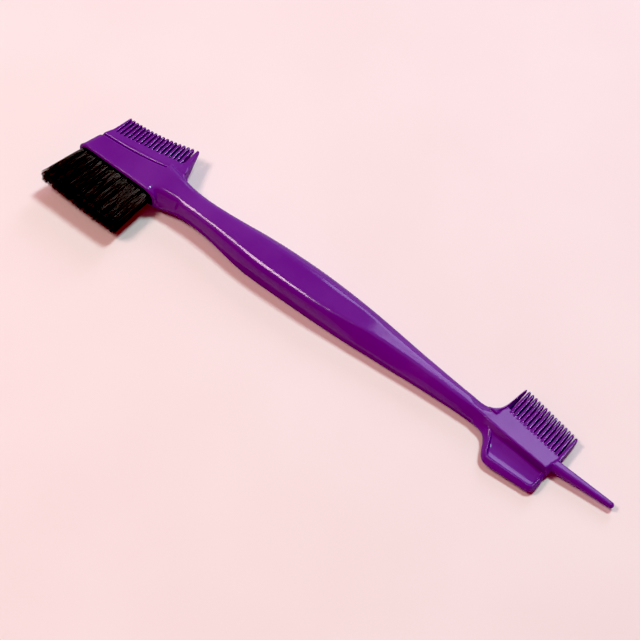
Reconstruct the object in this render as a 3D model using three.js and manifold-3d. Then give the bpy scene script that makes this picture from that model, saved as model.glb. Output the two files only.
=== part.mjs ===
// Double-ended tint and edge brush: one moulded body with a bristle head and comb at one end,
// a comb, scoop and pin tail at the other, and tufts of bristle stapled into blind holes.
//
// Millimetres. +X runs along the handle to the pin tail, +Y to the combs, +Z up.
// The origin is the middle of the flat under the belly, where the brush rests on a table.
// Shapes are drawn level, with heights from the mould's parting plane. The belly's flat slants
// against that plane, so the finished brush lies with its tail lower than its bristle head.
import * as THREE from "three";
import { mergeVertices } from "three/addons/utils/BufferGeometryUtils.js";
import Module from "manifold-3d";

const wasm = await Module();
wasm.setup();
const mix = THREE.MathUtils.lerp;

// Driving dimensions
const REST_DEPTH = 5.05; // parting plane down to the rest face at the origin
const REST_SLOPE = 0.026; // how much nearer the rest face comes for each millimetre of X
const HOLDER_HALF = 4.4; // half the thickness of the bristle head
const MOUTH = { left: -109.2, right: -75.3, front: -6.9, wall: 0.9, depth: 3.0 };
const LEDGE_HALF = 2.4; // half the thickness of the step between holder and comb
const COMB_HALF = 1.25; // half the thickness of the comb plates
const SPINE_HALF = 3.0; // the rear head's ridge over the parting plane
const TOOTH = { pitch: 1.53, rootWidth: 1.15, tipWidth: 0.66, tipHalf: 0.95, sink: 0.8 };
const FRONT_TEETH = 16; // fine teeth, between two guard teeth
const REAR_TEETH = 14;
const TUFTS_PER_ROW = 11;
const ROW_OFFSET = 1.55; // each row's distance from the parting plane
const HOLE = { radius: 1.2, depth: 4.4, sides: 10 };
const CLEARANCE = 0.3; // gap between pieces that touch in the real brush
const TUFT = {
  rootPitch: 2.65,
  mouthPitch: 2.8,
  tipPitch: 3.02,
  tipCentre: -94.6,
  tipY: -23.4,
  rowStagger: 0.5,
};
const ANCHOR = { width: 1.75, depth: 1.5, thickness: 0.35, loop: 0.5 };
const PADDLE = { top: 0.9, bottom: -1.7, trayDepth: 1.0 };
const TAIL = { root: 86.5, tip: 111.0, rootRadius: 2.3, tipRadius: 1.1 };

// Handle sections: x, the far and near edges at the parting plane, the far and near edges of the
// flat top facet, the facet's height and the underside's depth.
const HANDLE = [
  [-74, 6.0, -6.4, 3.3, -3.4, 4.3, 4.3],
  [-67, 5.3, -5.2, 3.0, -2.7, 3.9, 4.0],
  [-60, 5.2, -4.9, 2.9, -2.8, 3.8, 4.0],
  [-53, 5.5, -5.3, 3.1, -3.2, 4.0, 4.4],
  [-43, 6.6, -6.7, 3.6, -3.8, 4.3, 5.3],
  [-32, 7.6, -7.7, 4.1, -4.5, 4.5, 6.3],
  [-18, 8.1, -7.6, 4.3, -4.7, 4.6, 6.6],
  [-4, 8.0, -7.2, 4.0, -4.3, 4.6, 6.3],
  [8, 7.3, -6.6, 3.2, -2.5, 4.6, 5.6],
  [17, 6.5, -6.0, 2.1, -1.7, 4.5, 4.9],
  [28, 5.3, -5.3, 1.4, -1.2, 4.3, 4.3],
  [38, 4.4, -4.7, 1.0, -1.2, 4.0, 4.0],
  [48, 3.5, -4.3, 0.6, -1.3, 3.4, 3.6],
  [58, 3.0, -4.2, 0.7, -1.7, 3.2, 3.2],
  [64, 3.2, -4.2, 0.8, -2.2, 3.1, 3.1],
];
const HANDLE_STEPS = 34;

const plastic = new THREE.MeshStandardMaterial({ color: "#5a1179", roughness: 0.18, metalness: 0 });
const bristle = new THREE.MeshStandardMaterial({ color: "#0b0b0c", roughness: 0.45, metalness: 0 });
const steel = new THREE.MeshStandardMaterial({ color: "#c9ccd1", roughness: 0.3, metalness: 1 });

// A closed three.js geometry as a manifold solid, and back.
function solid(geometry) {
  const bare = geometry.index ? geometry.toNonIndexed() : geometry.clone();
  bare.deleteAttribute("normal");
  bare.deleteAttribute("uv");
  const merged = mergeVertices(bare, 1e-4);
  return new wasm.Manifold(
    new wasm.Mesh({
      numProp: 3,
      vertProperties: merged.attributes.position.array,
      triVerts: new Uint32Array(merged.index.array),
    }),
  );
}

function geometryOf(body) {
  const mesh = body.getMesh();
  const geometry = new THREE.BufferGeometry();
  geometry.setAttribute("position", new THREE.BufferAttribute(new Float32Array(mesh.vertProperties), 3));
  geometry.setIndex(new THREE.BufferAttribute(new Uint32Array(mesh.triVerts), 1));
  geometry.computeVertexNormals();
  return geometry;
}

const joined = (bodies) => bodies.reduce((whole, body) => whole.add(body));

const shapeOf = (points) => new THREE.Shape(points.map(([x, y]) => new THREE.Vector2(x, y)));

// A plan outline (x, y) between two heights over the parting plane.
function slab(points, bottom, top) {
  const geometry = new THREE.ExtrudeGeometry(shapeOf(points), { depth: top - bottom, bevelEnabled: false });
  return solid(geometry.translate(0, 0, bottom));
}

// Smooth points through the corners of an open plan curve.
function smooth(points, divisions) {
  const curve = new THREE.SplineCurve(points.map(([x, y]) => new THREE.Vector2(x, y)));
  return curve.getPoints(divisions).map((p) => [p.x, p.y]);
}

// A closed solid through rings of points: rings[i] is an array of THREE.Vector3, all the same
// length. An extruded polygon supplies the faces, and each of its corners moves to its ring point.
function loft(rings) {
  const sides = rings[0].length;
  const corner = (i) => [Math.cos((2 * Math.PI * i) / sides), Math.sin((2 * Math.PI * i) / sides)];
  const polygon = Array.from({ length: sides }, (_, i) => corner(i));
  const geometry = new THREE.ExtrudeGeometry(shapeOf(polygon), {
    depth: rings.length - 1,
    steps: rings.length - 1,
    bevelEnabled: false,
  });
  const position = geometry.attributes.position;
  for (let k = 0; k < position.count; k++) {
    const turn = Math.atan2(position.getY(k), position.getX(k)) / (2 * Math.PI);
    const side = (Math.round(turn * sides) + sides) % sides;
    const point = rings[Math.round(position.getZ(k))][side];
    position.setXYZ(k, point.x, point.y, point.z);
  }
  return solid(geometry);
}

// The handle: a flat top facet, bulged walls, widest at the parting plane, with the belly's
// underside cut off by the slanting rest face.
function handle() {
  const column = (index) => new THREE.SplineCurve(HANDLE.map((row) => new THREE.Vector2(row[0], row[index])));
  const columns = [1, 2, 3, 4, 5, 6].map(column);
  const rings = [];
  for (let i = 0; i <= HANDLE_STEPS; i++) {
    const at = columns.map((curve) => curve.getPoint(i / HANDLE_STEPS));
    const [far, near, facetFar, facetNear, top, lower] = at.map((p) => p.y);
    const x = at[0].x;
    const bottom = Math.min(lower, REST_DEPTH - REST_SLOPE * x);
    const ring = [
      [0.68 * far, -bottom],
      [0.96 * far, -0.66 * bottom],
      [far, 0],
      [mix(facetFar, far, 0.62), 0.55 * top],
      [facetFar, top],
      [facetNear, top],
      [mix(facetNear, near, 0.62), 0.55 * top],
      [near, 0],
      [0.96 * near, -0.66 * bottom],
      [0.68 * near, -bottom],
    ];
    rings.push(ring.map(([y, z]) => new THREE.Vector3(x, y, z)));
  }
  return loft(rings);
}

// A stadium in the X-Z plane, extruded from y0 to y1.
function stadium(left, right, half, y0, y1) {
  const shape = new THREE.Shape();
  shape.absarc(right - half, 0, half, -Math.PI / 2, Math.PI / 2, false);
  shape.absarc(left + half, 0, half, Math.PI / 2, (3 * Math.PI) / 2, false);
  const geometry = new THREE.ExtrudeGeometry(shape, { depth: y1 - y0, bevelEnabled: false, curveSegments: 8 });
  return solid(geometry.rotateX(Math.PI / 2).translate(0, y1, 0));
}

const mouthMiddle = (MOUTH.left + MOUTH.right) / 2;
const floorY = MOUTH.front + MOUTH.depth;
const holeEndY = floorY + HOLE.depth;
const tuftColumns = Array.from({ length: TUFTS_PER_ROW }, (_, i) => i - (TUFTS_PER_ROW - 1) / 2);
const rootX = (column) => mouthMiddle + column * TUFT.rootPitch;

// The block that holds the bristles, its slanted back and the shoulders down to the neck.
function holder() {
  const block = stadium(MOUTH.left, MOUTH.right, HOLDER_HALF, MOUTH.front, -1);
  const back = smooth([[-104.3, 0.6], [-97.9, 1.1], [-90.6, 1.9], [-83.5, 3.1], [-76.4, 4.7]], 8);
  const neckBack = smooth([[-76.4, 4.7], [-72.5, 4.8], [-69.0, 4.0], [-66.0, 3.2]], 5);
  const neckFront = smooth([[-66.0, -2.9], [-71.6, -3.1], [-75.0, -3.9], [-77.6, -5.3]], 5);
  const front = [[-79.5, -6.2], [-104.8, -6.2], [-106.9, -1.5]];
  const top = slab([...front, ...back, ...neckBack.slice(1), ...neckFront].reverse(), -4.4, 4.4);
  const flare = smooth([[-67.0, -5.3], [-70.0, -5.6], [-73.0, -6.2], [-76.2, -6.85]], 5);
  const middle = slab([...flare, [-80, -6.85], [-80, 5], [-70, 6], [-67.0, 5.35]].reverse(), -2.2, 2.2);
  return joined([block, top, middle]);
}

// A row of tapered teeth from points root(i) to points tip(i) in plan.
function teeth(count, root, tip) {
  const bodies = [];
  for (let i = 0; i < count; i++) {
    const a = root(i);
    const b = tip(i);
    const along = new THREE.Vector2(b[0] - a[0], b[1] - a[1]).normalize();
    const ring = (x, y, width, half) =>
      [
        [-0.5, 0],
        [-0.22, -1],
        [0.22, -1],
        [0.5, 0],
        [0.22, 1],
        [-0.22, 1],
      ].map(([u, v]) => new THREE.Vector3(x + u * width * along.y, y - u * width * along.x, v * half));
    const start = [a[0] - along.x * TOOTH.sink, a[1] - along.y * TOOTH.sink];
    const late = [b[0] - along.x * TOOTH.sink, b[1] - along.y * TOOTH.sink];
    bodies.push(
      loft([
        ring(start[0], start[1], TOOTH.rootWidth, COMB_HALF),
        ring(late[0], late[1], 1.2 * TOOTH.tipWidth, TOOTH.tipHalf),
        ring(b[0], b[1], 0.5 * TOOTH.tipWidth, 0.5 * TOOTH.tipHalf),
      ].map((points) => points.reverse())),
    );
  }
  return bodies;
}

// Front comb: a step, a thin plate, two guard teeth and the fine teeth.
function frontComb() {
  const ledge = slab([[-105.3, -1], [-75.5, 2], [-75.3, 6.6], [-77.0, 7.3], [-105.1, 2.4]], -LEDGE_HALF, LEDGE_HALF);
  const plate = slab(
    [[-105.9, -0.5], [-72, 2], [-72.1, 7.1], [-73.6, 10.8], [-76.1, 17.6], [-76.7, 18.1], [-77.1, 17.2],
      [-77.2, 10.5], [-103.5, 5.5], [-102.7, 12.7], [-103.1, 13.4], [-103.7, 12.9]],
    -COMB_HALF,
    COMB_HALF,
  );
  const last = FRONT_TEETH - 1;
  const root = (i) => [mix(-102.3, -78.1, i / last), mix(5.7, 10.35, i / last)];
  const tip = (i) => {
    const t = i / last;
    return [mix(-101.5, -78.5, t), mix(13.2, 17.3, t) - 3.2 * t * (1 - t)];
  };
  return joined([ledge, plate, ...teeth(FRONT_TEETH, root, tip)]);
}

// Rear head: a spine that thins to the comb plate, the comb, and the scoop on the other side.
function rearHead() {
  const spine = [
    [57.5, 2.9, -0.9, -3.4, 3.0],
    [62.0, 4.8, -1.6, -3.6, 3.0],
    [66.0, 6.4, -2.3, -4.0, 2.9],
    [76.0, 4.8, -3.1, -4.3, 2.7],
    [88.3, 2.7, -4.0, -4.9, 2.4],
  ];
  const wedge = loft(
    spine.map(([x, rootY, ridgeY, footY, keel]) =>
      [
        [rootY, -COMB_HALF],
        [rootY, COMB_HALF],
        [ridgeY, SPINE_HALF],
        [footY, PADDLE.top],
        [footY, PADDLE.bottom],
        [ridgeY, -keel],
      ].map(([y, z]) => new THREE.Vector3(x, y, z)),
    ),
  );
  const armpit = smooth([[57.0, 3.1], [60.0, 3.5], [62.4, 5.4], [63.4, 8.0], [64.2, 12.6]], 10);
  const plate = slab(
    [...armpit, [65.0, 15.8], [65.6, 15.2], [65.9, 6.5], [87.3, 3.0], [87.7, 11.4], [88.3, 11.7],
      [88.8, 11.2], [88.9, 3.2], [88.2, -3.5], [57.0, -2.5]].reverse(),
    -COMB_HALF,
    COMB_HALF,
  );
  const last = REAR_TEETH - 1;
  const root = (i) => [mix(66.9, 86.4, i / last), mix(6.3, 3.1, i / last)];
  const tip = (i) => [66.5 + i * TOOTH.pitch, mix(15.6, 12.1, i / last)];
  return joined([wedge, plate, scoop(), ...teeth(REAR_TEETH, root, tip)]);
}

// The scoop: a rimmed paddle with a shallow tray in its top.
function scoop() {
  const flank = smooth([[58.5, -3.2], [62.0, -4.2], [64.4, -6.4], [66.2, -9.6], [67.6, -11.6]], 8);
  const corner = smooth([[67.6, -11.6], [69.0, -12.4], [70.8, -12.7]], 3);
  const end = smooth([[86.4, -12.1], [87.6, -11.3], [88.1, -9.8], [87.9, -6.8], [87.6, -3.0]], 6);
  const outline = [...flank, ...corner.slice(1), ...end];
  const paddle = slab(outline, PADDLE.bottom, PADDLE.top);
  const tray = [[67.0, -5.1], [69.3, -10.2], [70.2, -10.9], [85.6, -10.6], [86.6, -9.6], [86.4, -5.6]];
  return paddle.subtract(slab(tray, PADDLE.top - PADDLE.trayDepth, PADDLE.top + 1));
}

// The pin tail: a slender cone with a rounded end.
function tail() {
  const { root, tip, rootRadius, tipRadius } = TAIL;
  const profile = [new THREE.Vector2(0, 0), new THREE.Vector2(rootRadius, 0)];
  const capStart = tip - root - tipRadius;
  for (let i = 0; i < 4; i++) {
    const angle = (i / 4) * (Math.PI / 2);
    profile.push(new THREE.Vector2(tipRadius * Math.cos(angle), capStart + tipRadius * Math.sin(angle)));
  }
  profile.push(new THREE.Vector2(0, tip - root));
  const geometry = new THREE.LatheGeometry(profile, 14);
  return solid(geometry.rotateZ(-Math.PI / 2).translate(root, -0.3, 0));
}

// The recess that the bristles come out of, and the blind holes in its floor.
function mouth() {
  const { left, right, front, wall } = MOUTH;
  const slot = stadium(left + wall, right - wall, HOLDER_HALF - wall, front - 1, floorY);
  const cuts = [slot];
  for (const side of [1, -1]) {
    for (const column of tuftColumns) {
      const hole = new THREE.CylinderGeometry(HOLE.radius, HOLE.radius, HOLE.depth + 1, HOLE.sides);
      cuts.push(solid(hole.translate(rootX(column), holeEndY - (HOLE.depth + 1) / 2, side * ROW_OFFSET)));
    }
  }
  return joined(cuts);
}

function body() {
  return joined([handle(), holder(), frontComb(), rearHead(), tail()]).subtract(mouth());
}

// A point of the X-Z plane, pulled back inside the rim of the mouth if it lies beyond it.
function insideRim(x, z) {
  const radius = HOLDER_HALF - MOUTH.wall;
  const end = HOLDER_HALF;
  const centre = THREE.MathUtils.clamp(x, MOUTH.left + end, MOUTH.right - end);
  const scale = Math.min(1, (radius - CLEARANCE) / Math.hypot(x - centre, z));
  return [centre + (x - centre) * scale, z * scale];
}

// A tuft: a round root in its hole, folded round its anchor, then flaring to a squarer tip.
function tuft(column, side) {
  const neck = HOLE.radius - CLEARANCE;
  const x0 = rootX(column);
  const tipY = TUFT.tipY + (side < 0 ? TUFT.rowStagger : 0);
  const gap = CLEARANCE / 2;
  const halfZ = ROW_OFFSET - gap;
  const stations = [
    [x0, holeEndY - CLEARANCE, neck, neck, 0.4],
    [x0, floorY + 0.1, neck, neck, 0.4],
    [mouthMiddle + column * TUFT.mouthPitch, MOUTH.front, TUFT.mouthPitch / 2 - gap, halfZ, 0.6],
    [TUFT.tipCentre + column * TUFT.tipPitch, tipY, TUFT.tipPitch / 2 - gap, halfZ, 0.6],
  ];
  const rings = stations.map(([x, y, halfX, half, c]) =>
    [
      [1, -c],
      [1, c],
      [c, 1],
      [-c, 1],
      [-1, c],
      [-1, -c],
      [-c, -1],
      [c, -1],
    ].map(([u, v]) => {
      const plain = [x + u * halfX, side * ROW_OFFSET + v * half];
      const [px, pz] = y < MOUTH.front ? plain : insideRim(...plain);
      return new THREE.Vector3(px, y, pz);
    }),
  );
  const window = new THREE.BoxGeometry(
    3 * neck,
    ANCHOR.depth + 2 * CLEARANCE,
    ANCHOR.thickness + 2 * CLEARANCE,
  );
  return loft(rings).subtract(solid(window.translate(x0, anchorY(), side * ROW_OFFSET)));
}

// Middle of each anchor, a loop of bristle above the end of its hole.
const anchorY = () => holeEndY - 2 * CLEARANCE - ANCHOR.loop - ANCHOR.depth / 2;

const brush = new THREE.Group();
const parts = new THREE.Group();
parts.rotation.y = Math.atan(REST_SLOPE);
parts.position.set(0, 0, REST_DEPTH).applyEuler(parts.rotation);
brush.add(parts);

function place(name, geometry, material) {
  const mesh = new THREE.Mesh(geometry, material);
  mesh.name = name;
  parts.add(mesh);
  return mesh;
}

place("body", geometryOf(body()), plastic);
for (const [row, side] of [["top", 1], ["bottom", -1]]) {
  tuftColumns.forEach((column, i) => {
    const number = String(i + 1).padStart(2, "0");
    place(`tuft_${row}_${number}`, geometryOf(tuft(column, side)), bristle);
    const blade = new THREE.BoxGeometry(ANCHOR.width, ANCHOR.depth, ANCHOR.thickness);
    const anchor = place(`anchor_${row}_${number}`, blade, steel);
    anchor.position.set(rootX(column), anchorY(), side * ROW_OFFSET);
  });
}

export default brush;
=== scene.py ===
"""Looks of the double-ended tint brush: moulded purple body, black nylon tufts, steel anchors.

Lengths in the shape code are millimetres, with z measured from the mould's parting plane. The
finished brush leans, its tail lower than its bristle head, and LEAN carries it onto the table.
"""
import math

import bpy
import numpy as np
from mathutils import Matrix, Vector


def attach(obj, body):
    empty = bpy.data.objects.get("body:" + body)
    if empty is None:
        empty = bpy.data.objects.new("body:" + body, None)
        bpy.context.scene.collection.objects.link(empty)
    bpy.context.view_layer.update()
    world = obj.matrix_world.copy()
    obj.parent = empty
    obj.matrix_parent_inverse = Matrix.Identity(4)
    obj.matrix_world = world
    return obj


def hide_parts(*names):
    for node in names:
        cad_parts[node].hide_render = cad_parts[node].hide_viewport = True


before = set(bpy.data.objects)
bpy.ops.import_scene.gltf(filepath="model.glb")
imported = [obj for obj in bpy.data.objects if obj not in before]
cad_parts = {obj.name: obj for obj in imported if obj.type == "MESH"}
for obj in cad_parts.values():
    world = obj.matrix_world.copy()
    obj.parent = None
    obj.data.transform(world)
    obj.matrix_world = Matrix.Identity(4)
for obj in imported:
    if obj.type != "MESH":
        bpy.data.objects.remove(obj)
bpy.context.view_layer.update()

MM = 0.001
REST_DEPTH = 5.05  # parting plane down to the table at x = 0
REST_SLOPE = 0.026  # the table comes nearer by this much for each millimetre of x
LEAN = Matrix.Rotation(math.atan(REST_SLOPE), 4, "Y") @ Matrix.Translation((0, 0, REST_DEPTH * MM))


# ---------------------------------------------------------------- smooth combinations
def smax(a, b, k):
    """Larger of two fields, with the edge between them rounded over about k."""
    h = np.clip(0.5 + 0.5 * (a - b) / k, 0, 1)
    return b + (a - b) * h + k * h * (1 - h)


def smin(a, b, k):
    return -smax(-a, -b, k)


def table(points, spread=3.0):
    """A smooth function of x through rows of (x, value)."""
    xs, values = zip(*points)
    step = 0.25
    fine = np.arange(-125, 125, step)
    half = round(4 * spread / step)
    reach = np.arange(-half, half + 1) * step
    weights = np.exp(-0.5 * (reach / spread) ** 2)
    plain = np.interp(fine, xs, values)
    smooth = np.convolve(np.pad(plain, half, mode="edge"), weights / weights.sum(), "valid")
    return lambda x: np.interp(x, fine, smooth)


def spline(points, steps=5):
    """Catmull-Rom curve through plan points."""
    p = [np.array(q, float) for q in points]
    p = [2 * p[0] - p[1]] + p + [2 * p[-1] - p[-2]]
    out = []
    for a, b, c, d in zip(p, p[1:], p[2:], p[3:]):
        for i in range(steps):
            t = i / steps
            square = (2 * a - 5 * b + 4 * c - d) * t**2
            cube = (3 * b - a - 3 * c + d) * t**3
            out.append(0.5 * (2 * b + (c - a) * t + square + cube))
    return [tuple(q) for q in out] + [tuple(p[-2])]


def outline(x, y, points):
    """Signed distance in plan to a closed outline, negative inside."""
    nearest = np.full(np.broadcast(x, y).shape, 1e9)
    inside = np.zeros(nearest.shape, bool)
    for (x0, y0), (x1, y1) in zip(points, points[1:] + points[:1]):
        ex, ey = x1 - x0, y1 - y0
        length = ex * ex + ey * ey
        if length < 1e-9:
            continue
        t = np.clip(((x - x0) * ex + (y - y0) * ey) / length, 0, 1)
        nearest = np.minimum(nearest, (x - x0 - t * ex) ** 2 + (y - y0 - t * ey) ** 2)
        if ey:
            inside ^= ((y0 > y) != (y1 > y)) & (x < ex * (y - y0) / ey + x0)
    return np.where(inside, -1, 1) * np.sqrt(nearest)


# ---------------------------------------------------------------- the moulded body
# Rows of (x, value). far and near: edges at the parting plane. crest_far and crest_near: edges
# of the top facet. top: its height at the near edge. base: depth of the underside.
far = table([
    (-80, 9), (-76, 7.2), (-72, 5.9), (-67, 5.25), (-60, 5.1), (-53, 5.5), (-45.8, 6.22), (-38.8, 7.04),
    (-31.7, 7.64), (-24.7, 7.97), (-17.7, 8.16), (-10.7, 8.17), (-3.7, 7.95), (3.3, 7.6), (10.2, 7.1),
    (17, 6.46), (24, 5.72), (31, 4.98), (37.7, 4.4), (44.4, 3.77), (51, 3.22), (57.8, 2.96), (70, 3.2),
], 2.0)
near = table([
    (-80, -8.6), (-75.4, -7.5), (-72.5, -6.6), (-69.1, -5.5), (-65.5, -5.05), (-60, -4.85), (-53, -5.3),
    (-45.8, -6.2), (-38.8, -7.1), (-31.7, -7.7), (-24.7, -7.75), (-17.7, -7.58), (-10.7, -7.42),
    (-3.7, -7.17), (3.3, -6.8), (10.2, -6.43), (17, -5.96), (24, -5.6), (31, -5.07), (37.7, -4.7),
    (44.4, -4.4), (51, -4.2), (58, -4.2), (66, -4.55), (76, -4.75), (90, -5.0),
], 1.6)
crest_far = table([
    (-80, 5.6), (-76.4, 4.7), (-71, 4.3), (-68, 3.6), (-63, 3.0), (-57, 2.9), (-45, 3.4), (-30, 4.1),
    (-15, 4.3), (-5, 4.0), (3, 3.6), (10, 3.0), (17, 2.1), (24, 1.65), (31, 1.3), (38, 0.97),
    (44, 0.7), (51, 0.6), (58, 0.7), (66, 1.5),
], 2.0)
crest_near = table([
    (-80, -6.0), (-77.4, -4.6), (-75, -3.5), (-71.6, -2.85), (-68, -2.6), (-65, -2.9), (-61, -2.85),
    (-50, -3.3), (-42.7, -3.74), (-35.5, -4.4), (-28, -4.65), (-18, -4.73), (-7.6, -4.62),
    (-0.8, -3.94), (5.9, -2.77), (12.6, -1.99), (19.3, -1.47), (26, -1.23), (33, -1.13), (46, -1.2),
    (52.6, -1.3), (59, -1.5), (65.6, -2.34), (75.4, -3.15), (86.5, -4.05), (90, -4.3),
], 1.4)
top = table([
    (-76, 4.4), (-71, 4.15), (-66, 3.8), (-60, 3.8), (-53, 4.0), (-43, 4.3), (-30, 4.6), (5, 4.6),
    (17, 4.5), (24, 4.4), (38, 4.0), (44, 3.65), (51, 3.3), (58, 3.2), (90, 3.3),
], 3.0)
base = table([
    (-76, 4.3), (-66, 4.0), (-60, 4.0), (-53, 4.3), (-43, 5.3), (-32, 6.3), (-18, 6.6), (-4, 6.3),
    (8, 5.6), (17, 4.9), (28, 4.35), (40, 3.95), (51, 3.4), (58, 3.1), (70, 3.2), (80, 3.3), (90, 3.1),
], 3.0)
# tilt: fall of the facet from its near edge to its far one. crown: rise of its middle.
tilt = table([
    (-80, 0), (-8, 0), (3, 0.05), (8, 0.14), (14, 0.215), (24, 0.225), (58, 0.225), (66, 0.235),
    (76, 0.26), (88, 0.294),
], 2.0)
crown = table([(-66, 0), (-50, 0.12), (0, 0.12), (8, 0.0), (90, 0)], 2.0)
# Front head: the block's far edge, and the line past which the comb's plate thins.
back = table([
    (-110, 0.3), (-103.75, 0.66), (-97.9, 1.0), (-90.6, 1.75), (-83.5, 3.0), (-76.4, 4.7), (-70, 6.2),
], 1.5)
ledge = table([(-105, 2.45), (-90, 4.9), (-77, 7.2), (-70, 8.4)], 1.0)
# Rear head: the line that the fine teeth leave the plate from.
rear_roots = table([(60, 7.4), (65.9, 6.45), (76.9, 4.65), (88, 2.8), (92, 2.1)], 1.0)

# Plan outlines.
REAR_CURVE = [(59.4, 3.3), (60.95, 4.07), (62.45, 5.48), (63.26, 7.24), (63.7, 9.36), (64.33, 12.9)]
ARMPIT = [(45, -30), (45, 3.72)] + spline([(51.1, 3.22), (54.5, 3.0), (57.4, 2.98)] + REAR_CURVE, 3)
ARMPIT += [(65.2, 18), (67, 26), (130, 26), (130, -30)]
REAR_GUARD = spline(REAR_CURVE, 3)
REAR_GUARD += [(64.7, 15.3), (64.9, 15.8), (65.15, 15.8), (65.35, 15.0), (64.9, 6.0), (65, 0), (59.4, 0)]
FRONT_PLATE = [
    (-106.4, -2), (-106.0, 1.75), (-105.4, 4.2), (-104.3, 8.6), (-103.5, 12.6), (-103.2, 13.2),
    (-102.8, 13.2), (-102.6, 12.5), (-103.15, 6.3), (-102.9, 5.55), (-89.4, 8.07), (-77.6, 10.4),
    (-77.2, 11.0), (-77.1, 16.9), (-76.9, 17.8), (-76.4, 17.8), (-76.0, 16.9), (-73.9, 10.8),
    (-72.7, 7.1), (-71.6, 5.6), (-69.5, 4.9), (-69.5, -2),
]
RIGHT_GUARD = [
    (-77.6, 4.0), (-77.2, 11.0), (-77.1, 17.0), (-76.9, 17.9), (-76.5, 18.0), (-76.0, 17.2),
    (-73.6, 10.8), (-72.3, 7.2), (-71.0, 5.5), (-69.0, 4.8), (-69, 2),
]
PADDLE = spline([
    (56.5, -3.4), (58.6, -4.7), (61.9, -5.2), (63.6, -6.1), (65.1, -7.8), (66.7, -10.6), (68, -12.4),
    (69.6, -13.4), (71.6, -13.75),
], 4)
PADDLE += spline([(86.4, -12.95), (87.8, -12.0), (88.35, -10.5), (88.25, -7.1), (87.7, -3.6)], 4)
PADDLE += [(70, -1), (60, -1)]
TRAY = spline([(65.2, -2.0), (66.6, -5.6), (68.6, -9.9), (69.6, -11.3), (71.2, -11.85)], 3)
TRAY += spline([(85.3, -11.5), (86.6, -11.0), (87.2, -9.6), (87.15, -5.4), (86.9, -2.0)], 3)
HOOK = [(-90, -9), (-77.25, -9), (-77.3, -5.8)]
HOOK += spline([
    (-77.2, -5.2), (-76.6, -4.3), (-75.3, -3.6), (-73.6, -3.15), (-71.6, -2.85), (-68, -2.6),
    (-65.6, -2.9), (-60, -2.9),
], 4)
HOOK += [(-60, 20), (-90, 20)]

MOUTH_END = 6.95  # from the brush's long axis to the face that the bristles come out of
BLOCK_HALF = 4.4  # half the bristle block's thickness
COLUMNS = 11  # holes in each of the two rows
HOLE_START, HOLE_PITCH, HOLE_RADIUS = -105.5, 2.65, 1.15
ROW_HEIGHT = 1.55  # a row's distance from the parting plane


def line_wall(y, z, edge, crest, height, bulge):
    """Wall from (edge, 0) up to (crest, height), bulged outwards. y grows outwards."""
    along_y, along_z = crest - edge, height
    length = np.sqrt(along_y**2 + along_z**2)
    plane = (height * (y - edge) - along_y * z) / length
    t = np.clip(((y - edge) * along_y + z * along_z) / length**2, 0, 1)
    return plane - 4 * bulge * t * (1 - t)


def spine(x, y, z):
    """Handle, neck and the rear head's plate: one run with a facet on top."""
    cn, cf, height = crest_near(x), crest_far(x), top(x)
    middle, half = (cn + cf) / 2, (cf - cn) / 2
    facet = z - (height - tilt(x) * (y - cn) - crown(x) * ((y - middle) / half) ** 2)
    depth = np.minimum(base(x), REST_DEPTH - REST_SLOPE * x - 0.5 * np.clip((x - 50) / 20, 0, 1))
    under = -z - (depth - tilt(x) * np.maximum(y - cn, 0) * np.clip((x - 50) / 12, 0, 1))
    rear = np.clip((x - 52) / 5, 0, 1)
    rear = rear * rear * (3 - 2 * rear)
    near_side = near(x) - y - 0.05 * z
    near_wall = smax(line_wall(-y, z, -near(x), -cn, height, 0.28 * (1 - rear)), near_side, 0.5)
    reach = 2.1 + (cn - near(x) - 2.1) * np.clip((y + 7) / 3.2, 0, 1)
    flare = (outline(x, y, HOOK) - reach * (1 - z / height)) / np.sqrt(1 + (reach / height) ** 2)
    flare = smax(flare, near_side, 0.4)
    neck = np.clip((-64.5 - x) / 3, 0, 1)
    near_wall = near_wall * (1 - neck) + flare * neck
    plan = outline(x, y, ARMPIT)
    armpit = smax((plan + 1.05 * z) / 1.45, plan, 0.5)
    side = smax(line_wall(y, z, far(x), cf, height, 0.3), y - far(x) - 0.05 * z, 0.5)
    far_wall = side * (1 - rear) + armpit * rear
    roots = smax(y - rear_roots(x), (x - 88.75 - 0.1 * np.minimum(y, 3) + 0.35 * np.abs(z)) / 1.06, 0.6)
    far_wall = smax(far_wall, np.where(x > 50, roots, -9.0), 0.3)
    walls = smax(near_wall, under, 1.6 * (1 - rear) + 1.2 * rear)
    walls = smax(walls, far_wall, 1.6 * (1 - rear) + 0.5 * rear)
    near_soft = 1.3 - 0.8 * np.clip((x + 4) / 14, 0, 1)
    far_soft = 1.1 - 0.5 * np.clip((x + 6) / 14, 0, 1)
    soft = np.where(y > middle, far_soft, near_soft)
    body = smax(walls, facet, soft)
    band = 0.06 / (1 + (z / 0.6) ** 8)
    body = smax(body - band * (1 - rear), -MOUTH_END - y, 0.9)
    return smax(body, -79 - x, 0.5)


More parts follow.
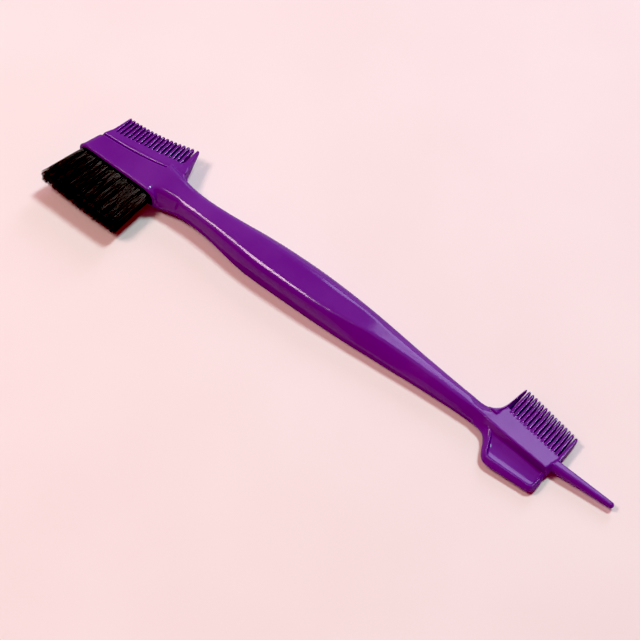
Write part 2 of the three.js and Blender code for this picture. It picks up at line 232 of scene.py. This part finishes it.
def comb_tooth(x0, y0, half0, high0, x1, y1, half1, high1):
    """A tapered tooth with bevelled edges and a rounded end, and its shading normals.

    Takes x, y, half width and half height at the root, then the same at the tip.
    """
    along = np.array([x1 - x0, y1 - y0])
    along /= np.hypot(*along)
    corners = []
    for sx, sz in ((1, 1), (-1, 1), (-1, -1), (1, -1)):
        sweep = (90, 60, 30, 0) if sx == sz else (0, 30, 60, 90)
        corners += [(sx, sz, math.radians(a)) for a in sweep]
    side = np.array([(sx, sx * math.sin(a)) for sx, sz, a in corners])
    rise = np.array([(sz, sz * math.cos(a)) for sx, sz, a in corners])
    rings, normals = [], []
    stations = [(0, 1), (0.25, 1), (0.5, 1), (0.75, 1), (0.9, 1), (0.955, 0.86), (0.985, 0.6), (1, 0.25)]
    for t, size in stations:
        wide = (half0 + (half1 - half0) * t) * size
        high = (high0 + (high1 - high0) * t) * (0.35 + 0.65 * size)
        bevel = min(0.28, 0.8 * wide)
        across = side @ (wide - bevel, bevel)
        x = x0 + (x1 - x0) * t + across * along[1]
        y = y0 + (y1 - y0) * t - across * along[0]
        rings.append(np.stack([x, y, rise @ (high - bevel, bevel)], 1))
        normals.append(np.stack([side[:, 1] * along[1], -side[:, 1] * along[0], rise[:, 1]], 1))
    index = np.arange(len(rings) * len(corners)).reshape(len(rings), len(corners))
    following = np.roll(index, -1, axis=1)
    faces = np.stack([index[:-1], index[1:], following[1:], following[:-1]], -1).reshape(-1, 4)
    caps = [index[0], index[-1, ::-1]]
    return np.concatenate(rings), faces, caps, np.concatenate(normals)


FRONT_TEETH = []
for i in range(16):
    t = i / 15
    FRONT_TEETH.append((-102.4 + 24.2 * t, 4.2 + 4.9 * t, 0.63, 1.45,
                        -101.5 + 23.0 * t, 13.3 + 4.1 * t - 3.2 * t * (1 - t), 0.42, 1.1))
REAR_TEETH = [
    (66.3 + 1.54 * i, 5.0 - 0.25 * i, 0.65, 1.5, 66.5 + 1.53 * i, 15.7 - 0.27 * i, 0.43, 1.15)
    for i in range(14)
]
REAR_TEETH.append((88.15, 1.4, 0.75, 1.5, 88.1, 11.65, 0.5, 1.15))  # the guard tooth


def boxed(x, z, left, right, half, above, below):
    """Section through the bristle block, with corner radii over and under the parting plane."""
    centre = np.clip(x, left + above, right - above)
    over = np.hypot(x - centre, z) - above + (above - half)
    wide = np.abs(x - (left + right) / 2) - (right - left) / 2 + below
    deep = -z - half + below
    inner = np.minimum(np.maximum(wide, deep), 0)
    under = np.hypot(np.maximum(wide, 0), np.maximum(deep, 0)) + inner - below
    return np.where(z > 0, over, under)


def front_head(x, y, z):
    """The block that holds the bristles, the step behind it and the comb."""
    a = np.abs(z)
    left = -108.55 + 0.3 * (y + 5)
    lip = 0.2 * np.exp(-(((y + 6.2) / 0.6) ** 2))
    block = boxed(x, z, left, -74.8, BLOCK_HALF, BLOCK_HALF, 0.8) - lip
    block = smax(block, -MOUTH_END - y, 0.9)
    block = smax(block, y - back(x) + 0.04 * (a - BLOCK_HALF), 0.45)
    sides = outline(x, y, FRONT_PLATE)
    fall = np.clip((y - ledge(x)) / (3.1 + 0.01 * (x + 90)), 0, 1.2)
    groove = 0.8 * np.exp(-(((y - back(x) - 0.85) / 0.6) ** 2))
    plate = smax(sides + 0.12 * a, a - (2.45 - 1.15 * fall - groove), 0.25)
    guard = smax((outline(x, y, RIGHT_GUARD) + 0.4 * a) / 1.08, a - (2.5 - 0.13 * (y - 6)), 0.5)
    comb = smin(plate, guard, 0.3)
    return smin(block, comb, 0.3)


def scoop(x, y, z):
    """Paddle with a raised rim round a hollow tray."""
    plan = outline(x, y, PADDLE)
    rise = 0.95 + 1.5 * np.clip((-5.5 - y) / -4.0, 0, 1) * np.clip((68 - x) / 4, 0, 1)
    slope = 1.3 - 0.6 * np.clip((x - 84) / 3, 0, 1)
    outer = smax((plan + slope * (z + 0.4)) / np.sqrt(1 + slope**2), plan, 0.6)
    outer = smax(outer, z - rise, 0.25)
    outer = smax(outer, -z - 1.7 + 0.25 * np.clip(plan + 1.5, 0, 3), 0.8)
    floor = 0.85 - 1.05 * (1 - np.clip((y + 7.9) / 4.0, -1, 1) ** 2)
    pocket = smax(outline(x, y, TRAY) + 0.3 * (0.95 - z), floor - z, 0.6)
    return smax(outer, -pocket, 0.15)


def tail(x, y, z):
    t = np.clip(x, 87.9, 109.9)
    radius = np.interp(t, [88.4, 90.5, 100, 109.9], [2.12, 2.0, 1.55, 1.12])
    centre = np.interp(t, [84, 89, 100, 110], [-0.5, -0.4, -0.18, -0.1])
    cone = np.sqrt((x - t) ** 2 + (y - centre) ** 2 + z**2) - radius
    cone = smax(cone, (z + 0.27 * (y - centre)) / 1.036 - 0.92 * radius, 0.12)
    return smax(cone, 87.6 - x, 0.3)


def mouth(x, y, z):
    """Recess that the bristles come out of, and the blind holes in its floor."""
    recess = smax(boxed(x, z, -107.7, -76.0, 3.3, 3.3, 0.8), y + 3.9, 0.4)
    column = np.clip(np.round((x - HOLE_START) / HOLE_PITCH), 0, COLUMNS - 1) * HOLE_PITCH + HOLE_START
    hole = np.maximum(np.hypot(x - column, np.abs(z) - ROW_HEIGHT) - HOLE_RADIUS, y - 0.4)
    return np.minimum(recess, np.maximum(hole, -4.5 - y))


def body_field(x, y, z):
    solid = smin(spine(x, y, z), np.where(x < -60, front_head(x, y, z), 9.0), 0.35)
    a = np.abs(z)
    guard = (outline(x, y, REAR_GUARD) + 0.6 * np.maximum(z, 0) * np.clip((15.5 - y) / 9, 0.3, 1)) / 1.3
    guard = smax(guard, a - (2.3 - 0.15 * (y - 6)), 0.4)
    rear = smin(scoop(x, y, z), guard, 0.3)
    rear = smin(rear, tail(x, y, z), 0.3)
    solid = smin(solid, np.where(x > 54, rear, 9.0), 0.25)
    return smax(solid, -mouth(x, y, z), 0.2)


def spans(*runs):
    """Grid lines: (start, end, step) runs joined end to end."""
    lines = [np.arange(a, b - step / 4, step) for a, b, step in runs]
    return np.concatenate(lines + [[runs[-1][1]]])


def surface_mesh(field, gx, gy, gz):
    """Quads over the zero level of a field, one vertex in each grid cell it crosses."""
    blocks = []
    for start in range(0, len(gx), 40):
        xs = gx[start : start + 40]
        value = field(xs[:, None, None], gy[None, :, None], gz[None, None, :])
        blocks.append(np.broadcast_to(value, (len(xs), len(gy), len(gz))).astype(np.float32))
    values = np.concatenate(blocks)
    inside = values < 0
    count = np.zeros([n - 1 for n in values.shape], np.int8)
    corners = [(i, j, k) for i in (0, 1) for j in (0, 1) for k in (0, 1)]
    nx, ny, nz = count.shape
    for i, j, k in corners:
        count += inside[i : nx + i, j : ny + j, k : nz + k]
    cells = np.argwhere((count > 0) & (count < 8))
    number = np.full(count.shape, -1, np.int64)
    number[tuple(cells.T)] = np.arange(len(cells))
    total = np.zeros((len(cells), 3))
    hits = np.zeros(len(cells))
    grids = (gx, gy, gz)
    for a in range(8):
        for b in range(a + 1, 8):
            ca, cb = np.array(corners[a]), np.array(corners[b])
            if np.abs(ca - cb).sum() != 1:
                continue
            ia, ib = (cells + ca).T, (cells + cb).T
            va, vb = values[tuple(ia)], values[tuple(ib)]
            cross = (va < 0) != (vb < 0)
            t = np.where(cross, va / np.where(cross, va - vb, 1), 0)
            for axis in range(3):
                pa, pb = grids[axis][ia[axis]], grids[axis][ib[axis]]
                total[:, axis] += np.where(cross, pa + t * (pb - pa), 0)
            hits += cross
    points = total / hits[:, None]
    quads = []
    for axis in range(3):
        one, two = [d for d in range(3) if d != axis]
        low = [slice(None)] * 3
        high = [slice(None)] * 3
        low[axis], high[axis] = slice(0, -1), slice(1, None)
        first, second = inside[tuple(low)], inside[tuple(high)]
        edges = np.argwhere(first != second)
        keep = (edges[:, one] > 0) & (edges[:, two] > 0)
        keep &= (edges[:, one] < values.shape[one] - 1) & (edges[:, two] < values.shape[two] - 1)
        edges = edges[keep]
        ring = []
        for d1, d2 in ((0, 0), (1, 0), (1, 1), (0, 1)):
            cell = edges.copy()
            cell[:, one] -= d1
            cell[:, two] -= d2
            ring.append(number[tuple(cell.T)])
        ring = np.stack(ring, 1)
        forward = first[tuple(edges.T)] == (axis == 1)
        ring[forward] = ring[forward][:, ::-1]
        quads.append(ring)
    return points, np.concatenate(quads)


def gradient(field, p, e=0.03):
    steps = []
    for axis in range(3):
        up, down = p.copy(), p.copy()
        up[:, axis] += e
        down[:, axis] -= e
        steps.append((field(*up.T) - field(*down.T)) / (2 * e))
    return np.stack(steps, 1)


def settle(field, p, rounds=3):
    """Moves points onto the zero level along the field's gradient."""
    for _ in range(rounds):
        g = gradient(field, p)
        move = field(*p.T) / np.maximum((g * g).sum(1), 0.05)
        p = p - np.clip(move, -0.15, 0.15)[:, None] * g
    return p


def add_mesh(name, points, faces, material, slot):
    """A smooth-shaded object from millimetre points over the parting plane."""
    mesh = bpy.data.meshes.new(name)
    mesh.from_pydata((np.asarray(points, float) * MM).tolist(), [], faces)
    mesh.transform(LEAN)
    mesh.polygons.foreach_set("use_smooth", np.ones(len(mesh.polygons), bool))
    mesh.materials.append(material)
    mesh.update()
    piece = bpy.data.objects.new(name, mesh)
    bpy.context.scene.collection.objects.link(piece)
    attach(piece, "root")
    return piece


# ---------------------------------------------------------------- materials
def new_material(name):
    material = bpy.data.materials.new(name)
    material.use_nodes = True
    nodes = material.node_tree.nodes
    return material, nodes, material.node_tree.links, nodes["Principled BSDF"]


def noise(nodes, links, scale, detail=3.0, rough=0.5):
    place = nodes.new("ShaderNodeTexCoord")
    texture = nodes.new("ShaderNodeTexNoise")
    texture.inputs["Scale"].default_value = scale
    texture.inputs["Detail"].default_value = detail
    texture.inputs["Roughness"].default_value = rough
    links.new(place.outputs["Object"], texture.inputs["Vector"])
    return texture.outputs["Fac"]


def ramp(nodes, links, value, stops):
    node = nodes.new("ShaderNodeValToRGB")
    while len(node.color_ramp.elements) < len(stops):
        node.color_ramp.elements.new(0.5)
    for element, (at, colour) in zip(node.color_ramp.elements, stops):
        element.position = at
        element.color = (*colour, 1)
    links.new(value, node.inputs["Fac"])
    return node.outputs["Color"]


def purple_plastic():
    """Glossy moulded polypropylene: faint flow marks in the colour, ripple and fine scuffs."""
    material, nodes, links, shader = new_material("purple_plastic")
    flow = noise(nodes, links, 45, 4)
    colour = ramp(nodes, links, flow, [(0.3, (0.155, 0.030, 0.245)), (0.7, (0.185, 0.041, 0.28))])
    links.new(colour, shader.inputs["Base Color"])
    scuffs = noise(nodes, links, 260, 5, 0.65)
    gloss = ramp(nodes, links, scuffs, [(0.35, (0.10, 0.10, 0.10)), (0.75, (0.17, 0.17, 0.17))])
    links.new(gloss, shader.inputs["Roughness"])
    shader.inputs["IOR"].default_value = 1.5
    facing = nodes.new("ShaderNodeLayerWeight")
    stops = [(0.32, (0.3, 0.3, 0.3)), (0.65, (0.01, 0.01, 0.01))]
    sheen = ramp(nodes, links, facing.outputs["Facing"], stops)
    links.new(sheen, shader.inputs["Specular IOR Level"])
    shader.inputs["Specular Tint"].default_value = (1.0, 0.85, 1.0, 1)
    bump = nodes.new("ShaderNodeBump")
    bump.inputs["Strength"].default_value = 0.12
    bump.inputs["Distance"].default_value = 0.0002
    links.new(noise(nodes, links, 320, 2), bump.inputs["Height"])
    links.new(bump.outputs["Normal"], shader.inputs["Normal"])
    return material


def black_nylon():
    """Black filaments whose shine comes and goes in long streaks."""
    material, nodes, links, shader = new_material("black_nylon")
    dye = noise(nodes, links, 900, 2)
    colour = ramp(nodes, links, dye, [(0.4, (0.0012, 0.0012, 0.0013)), (0.8, (0.006, 0.0055, 0.0045))])
    links.new(colour, shader.inputs["Base Color"])
    place = nodes.new("ShaderNodeTexCoord")
    stretch = nodes.new("ShaderNodeMapping")
    stretch.inputs["Scale"].default_value = (2600, 35, 900)
    streaks = nodes.new("ShaderNodeTexNoise")
    streaks.inputs["Scale"].default_value = 1.0
    links.new(place.outputs["Object"], stretch.inputs["Vector"])
    links.new(stretch.outputs["Vector"], streaks.inputs["Vector"])
    stops = [(0.42, (0.55, 0.55, 0.55)), (0.65, (1.2, 1.2, 1.2))]
    shine = ramp(nodes, links, streaks.outputs["Fac"], stops)
    links.new(shine, shader.inputs["Specular IOR Level"])
    shader.inputs["Specular Tint"].default_value = (1.0, 0.6, 0.58, 1)
    shader.inputs["Roughness"].default_value = 0.36
    return material


def anchor_steel():
    material, nodes, links, shader = new_material("anchor_steel")
    grain = noise(nodes, links, 1500, 3)
    colour = ramp(nodes, links, grain, [(0.3, (0.5, 0.5, 0.52)), (0.8, (0.72, 0.73, 0.75))])
    links.new(colour, shader.inputs["Base Color"])
    shader.inputs["Metallic"].default_value = 1.0
    shader.inputs["Roughness"].default_value = 0.32
    return material


def pink_paper():
    material, nodes, links, shader = new_material("pale_pink")
    patches = noise(nodes, links, 14, 3)
    colour = ramp(nodes, links, patches, [(0.35, (0.90, 0.69, 0.70)), (0.7, (0.92, 0.72, 0.73))])
    links.new(colour, shader.inputs["Base Color"])
    shader.inputs["Roughness"].default_value = 0.75
    return material


# ---------------------------------------------------------------- camera, floor and lights
AZIMUTH, ELEVATION, DISTANCE = math.radians(39.653), math.radians(60), 0.8
level = math.cos(ELEVATION)
toward = Vector((math.sin(AZIMUTH) * level, -math.cos(AZIMUTH) * level, math.sin(ELEVATION)))
aim = Vector((-0.0028, -0.00664, 0))
camera_data = bpy.data.cameras.new("camera")
camera_data.lens = 137.76
camera_data.sensor_width = 36
camera_data.clip_end = 10
camera = bpy.data.objects.new("camera", camera_data)
turned = toward.to_track_quat("Z", "Y").to_matrix().to_4x4()
camera.matrix_world = LEAN @ Matrix.Translation(aim + toward * DISTANCE) @ turned
bpy.context.scene.collection.objects.link(camera)
bpy.context.scene.camera = camera

PAPER = 3.0  # half the side of the paper
paper_corners = [(-PAPER, -PAPER, 0), (PAPER, -PAPER, 0), (PAPER, PAPER, 0), (-PAPER, PAPER, 0)]
floor_mesh = bpy.data.meshes.new("floor")
floor_mesh.from_pydata(paper_corners, [], [(0, 1, 2, 3)])
floor_mesh.materials.append(pink_paper())
floor = bpy.data.objects.new("floor", floor_mesh)
bpy.context.scene.collection.objects.link(floor)


def area_light(name, direction, distance, size, power, colour):
    """A rectangle at a distance from the origin that faces it."""
    data = bpy.data.lights.new(name, "AREA")
    data.shape = "RECTANGLE"
    data.size, data.size_y = size
    data.energy = power
    data.color = colour
    light = bpy.data.objects.new(name, data)
    way = Vector(direction).normalized()
    light.location = way * distance
    light.rotation_euler = way.to_track_quat("Z", "Y").to_euler()
    bpy.context.scene.collection.objects.link(light)


area_light("key", (0.12, 0.47, 1.0), 3.0, (0.53, 0.53), 60.0, (0.60, 0.98, 0.96))
area_light("left", (-0.45, -0.32, 1.0), 1.0, (0.22, 0.22), 3.95, (1.0, 0.9, 0.79))
area_light("overhead", (0.14, -0.09, 0.98), 0.9, (0.05, 0.05), 0.1, (1.0, 0.9, 0.95))
area_light("window", (-0.145, 0.85, 0.515), 0.87, (0.28, 0.34), 1.95, (0.62, 0.66, 0.95))

# A warm dim room over a pale horizon.
world = bpy.data.worlds.new("soft_room")
world.use_nodes = True
background = world.node_tree.nodes["Background"]
world_links = world.node_tree.links
direction = world.node_tree.nodes.new("ShaderNodeTexCoord")
height = world.node_tree.nodes.new("ShaderNodeSeparateXYZ")
world_links.new(direction.outputs["Generated"], height.inputs["Vector"])
stops = [(0.13, (0.80, 0.62, 0.64)), (0.2, (0.255, 0.05, 0.053))]
sky = ramp(world.node_tree.nodes, world_links, height.outputs["Z"], stops)
world_links.new(sky, background.inputs["Color"])
bpy.context.scene.world = world
view = bpy.context.scene.view_settings
view.view_transform = "Standard"
view.use_curve_mapping = True
view.curve_mapping.black_level = (0.03, 0.028, 0.028)

# ---------------------------------------------------------------- pieces
plastic = purple_plastic()
nylon = black_nylon()
steel = anchor_steel()

FINE = 0.35  # grid step over the two heads
grid_x = spans((-111, -64, FINE), (-64, 56, 0.6), (56, 90, FINE), (90, 112.2, 0.4))
grid_y = spans((-14.6, -0.5, 0.32), (-0.5, 9.5, 0.22), (9.5, 18.9, 0.32))
grid_z = spans((-6.9, 5.1, 0.3))
points, quads = surface_mesh(body_field, grid_x, grid_y, grid_z)
points = settle(body_field, points)
faces = quads.tolist()
slopes = gradient(body_field, points)  # shading normals
slopes /= np.linalg.norm(slopes, axis=1, keepdims=True)
for ends in FRONT_TEETH + REAR_TEETH:
    ring_points, sides, caps, ring_normals = comb_tooth(*ends)
    faces += (sides + len(points)).tolist() + [(cap + len(points)).tolist() for cap in caps]
    points = np.concatenate([points, ring_points])
    slopes = np.concatenate([slopes, ring_normals])
body = add_mesh("moulded_body", points, faces, plastic, "purple_plastic")
body.data.normals_split_custom_set_from_vertices((slopes @ np.array(LEAN.to_3x3()).T).tolist())
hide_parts("body")

rng = np.random.default_rng(7)
FILAMENTS, SIDES, RINGS = 110, 4, 9
MIDDLE = (COLUMNS - 1) // 2
ROOT_Y, GATE_Y, TIP_Y = -3.3, -6.9, -23.55  # in the hole, at the mouth, and at the tips
GATE_SHARE = (ROOT_Y - GATE_Y) / (ROOT_Y + 23.2)  # how much of a filament is inside the mouth


def tuft(column, side):
    """Tapered filaments that leave one hole, fill their cell of the mouth and run to ragged tips."""
    n = FILAMENTS
    radius = np.sqrt(rng.random(n)) * 0.8
    turn = rng.random(n) * 2 * math.pi
    u, v = radius * np.cos(turn), radius * np.sin(turn)
    grow = 1 / np.maximum(np.maximum(np.abs(u), np.abs(v)), 1e-6) * radius / 0.8
    su, sv = u * grow, v * grow  # the round hole's filaments spread over a square
    row_z = side * ROW_HEIGHT
    root = np.stack([HOLE_START + HOLE_PITCH * column + u, np.full(n, ROOT_Y), row_z + v], 1)
    gate_x = -92.35 + 2.84 * (column - MIDDLE) + su * 1.42
    gate_z = row_z + sv * 1.55
    centre = np.clip(gate_x, -104.7, -79.9)
    pull = np.minimum(1, 3.1 / np.hypot(gate_x - centre, gate_z))
    gate = np.stack([centre + (gate_x - centre) * pull, np.full(n, GATE_Y), gate_z * pull], 1)
    tip_y = TIP_Y + rng.normal(0, 0.2, n) - 0.25 * np.clip(column / 3 - 1, -1, 1)
    tip_x = -94.6 + 3.02 * (column - MIDDLE) + su * 1.5 + rng.normal(0, 0.16, n)
    tip = np.stack([tip_x, tip_y, row_z + sv * 1.5 + rng.normal(0, 0.12, n)], 1)
    bend = rng.normal(0, 0.16, (n, 2))
    s = np.linspace(0, 1, RINGS)[None, :, None]
    early = np.clip(s / GATE_SHARE, 0, 1)
    late = np.clip((s - GATE_SHARE) / (1 - GATE_SHARE), 0, 1)
    path = root[:, None] * (1 - early) + gate[:, None] * early
    path = path + (tip - gate)[:, None] * late
    sway = np.sin(late * math.pi)[:, :, 0]
    path[:, :, 0] += bend[:, None, 0] * sway
    path[:, :, 2] += bend[:, None, 1] * sway
    thick = 0.115 - 0.05 * np.linspace(0, 1, RINGS) ** 2
    turns = np.arange(SIDES) / SIDES * 2 * math.pi
    ring = np.stack([np.cos(turns), np.zeros(SIDES), np.sin(turns)], 1)
    points = path[:, :, None, :] + ring[None, None] * thick[None, :, None, None]
    index = np.arange(n * RINGS * SIDES).reshape(n, RINGS, SIDES)
    following = np.roll(index, -1, axis=2)
    ring_pairs = [index[:, :-1], index[:, 1:], following[:, 1:], following[:, :-1]]
    faces = np.stack(ring_pairs, -1).reshape(-1, 4)
    caps = np.concatenate([index[:, 0, :], index[:, -1, ::-1]])
    return points.reshape(-1, 3), np.concatenate([faces, caps]).tolist()


for row, side in (("top", 1), ("bottom", -1)):
    for column in range(COLUMNS):
        label = f"{row}_{column + 1:02d}"
        piece = add_mesh(f"bristles_{label}", *tuft(column, side), nylon, "black_nylon")
        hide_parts(f"tuft_{label}")
        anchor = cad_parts[f"anchor_{label}"]
        anchor.data.materials.clear()
        anchor.data.materials.append(steel)
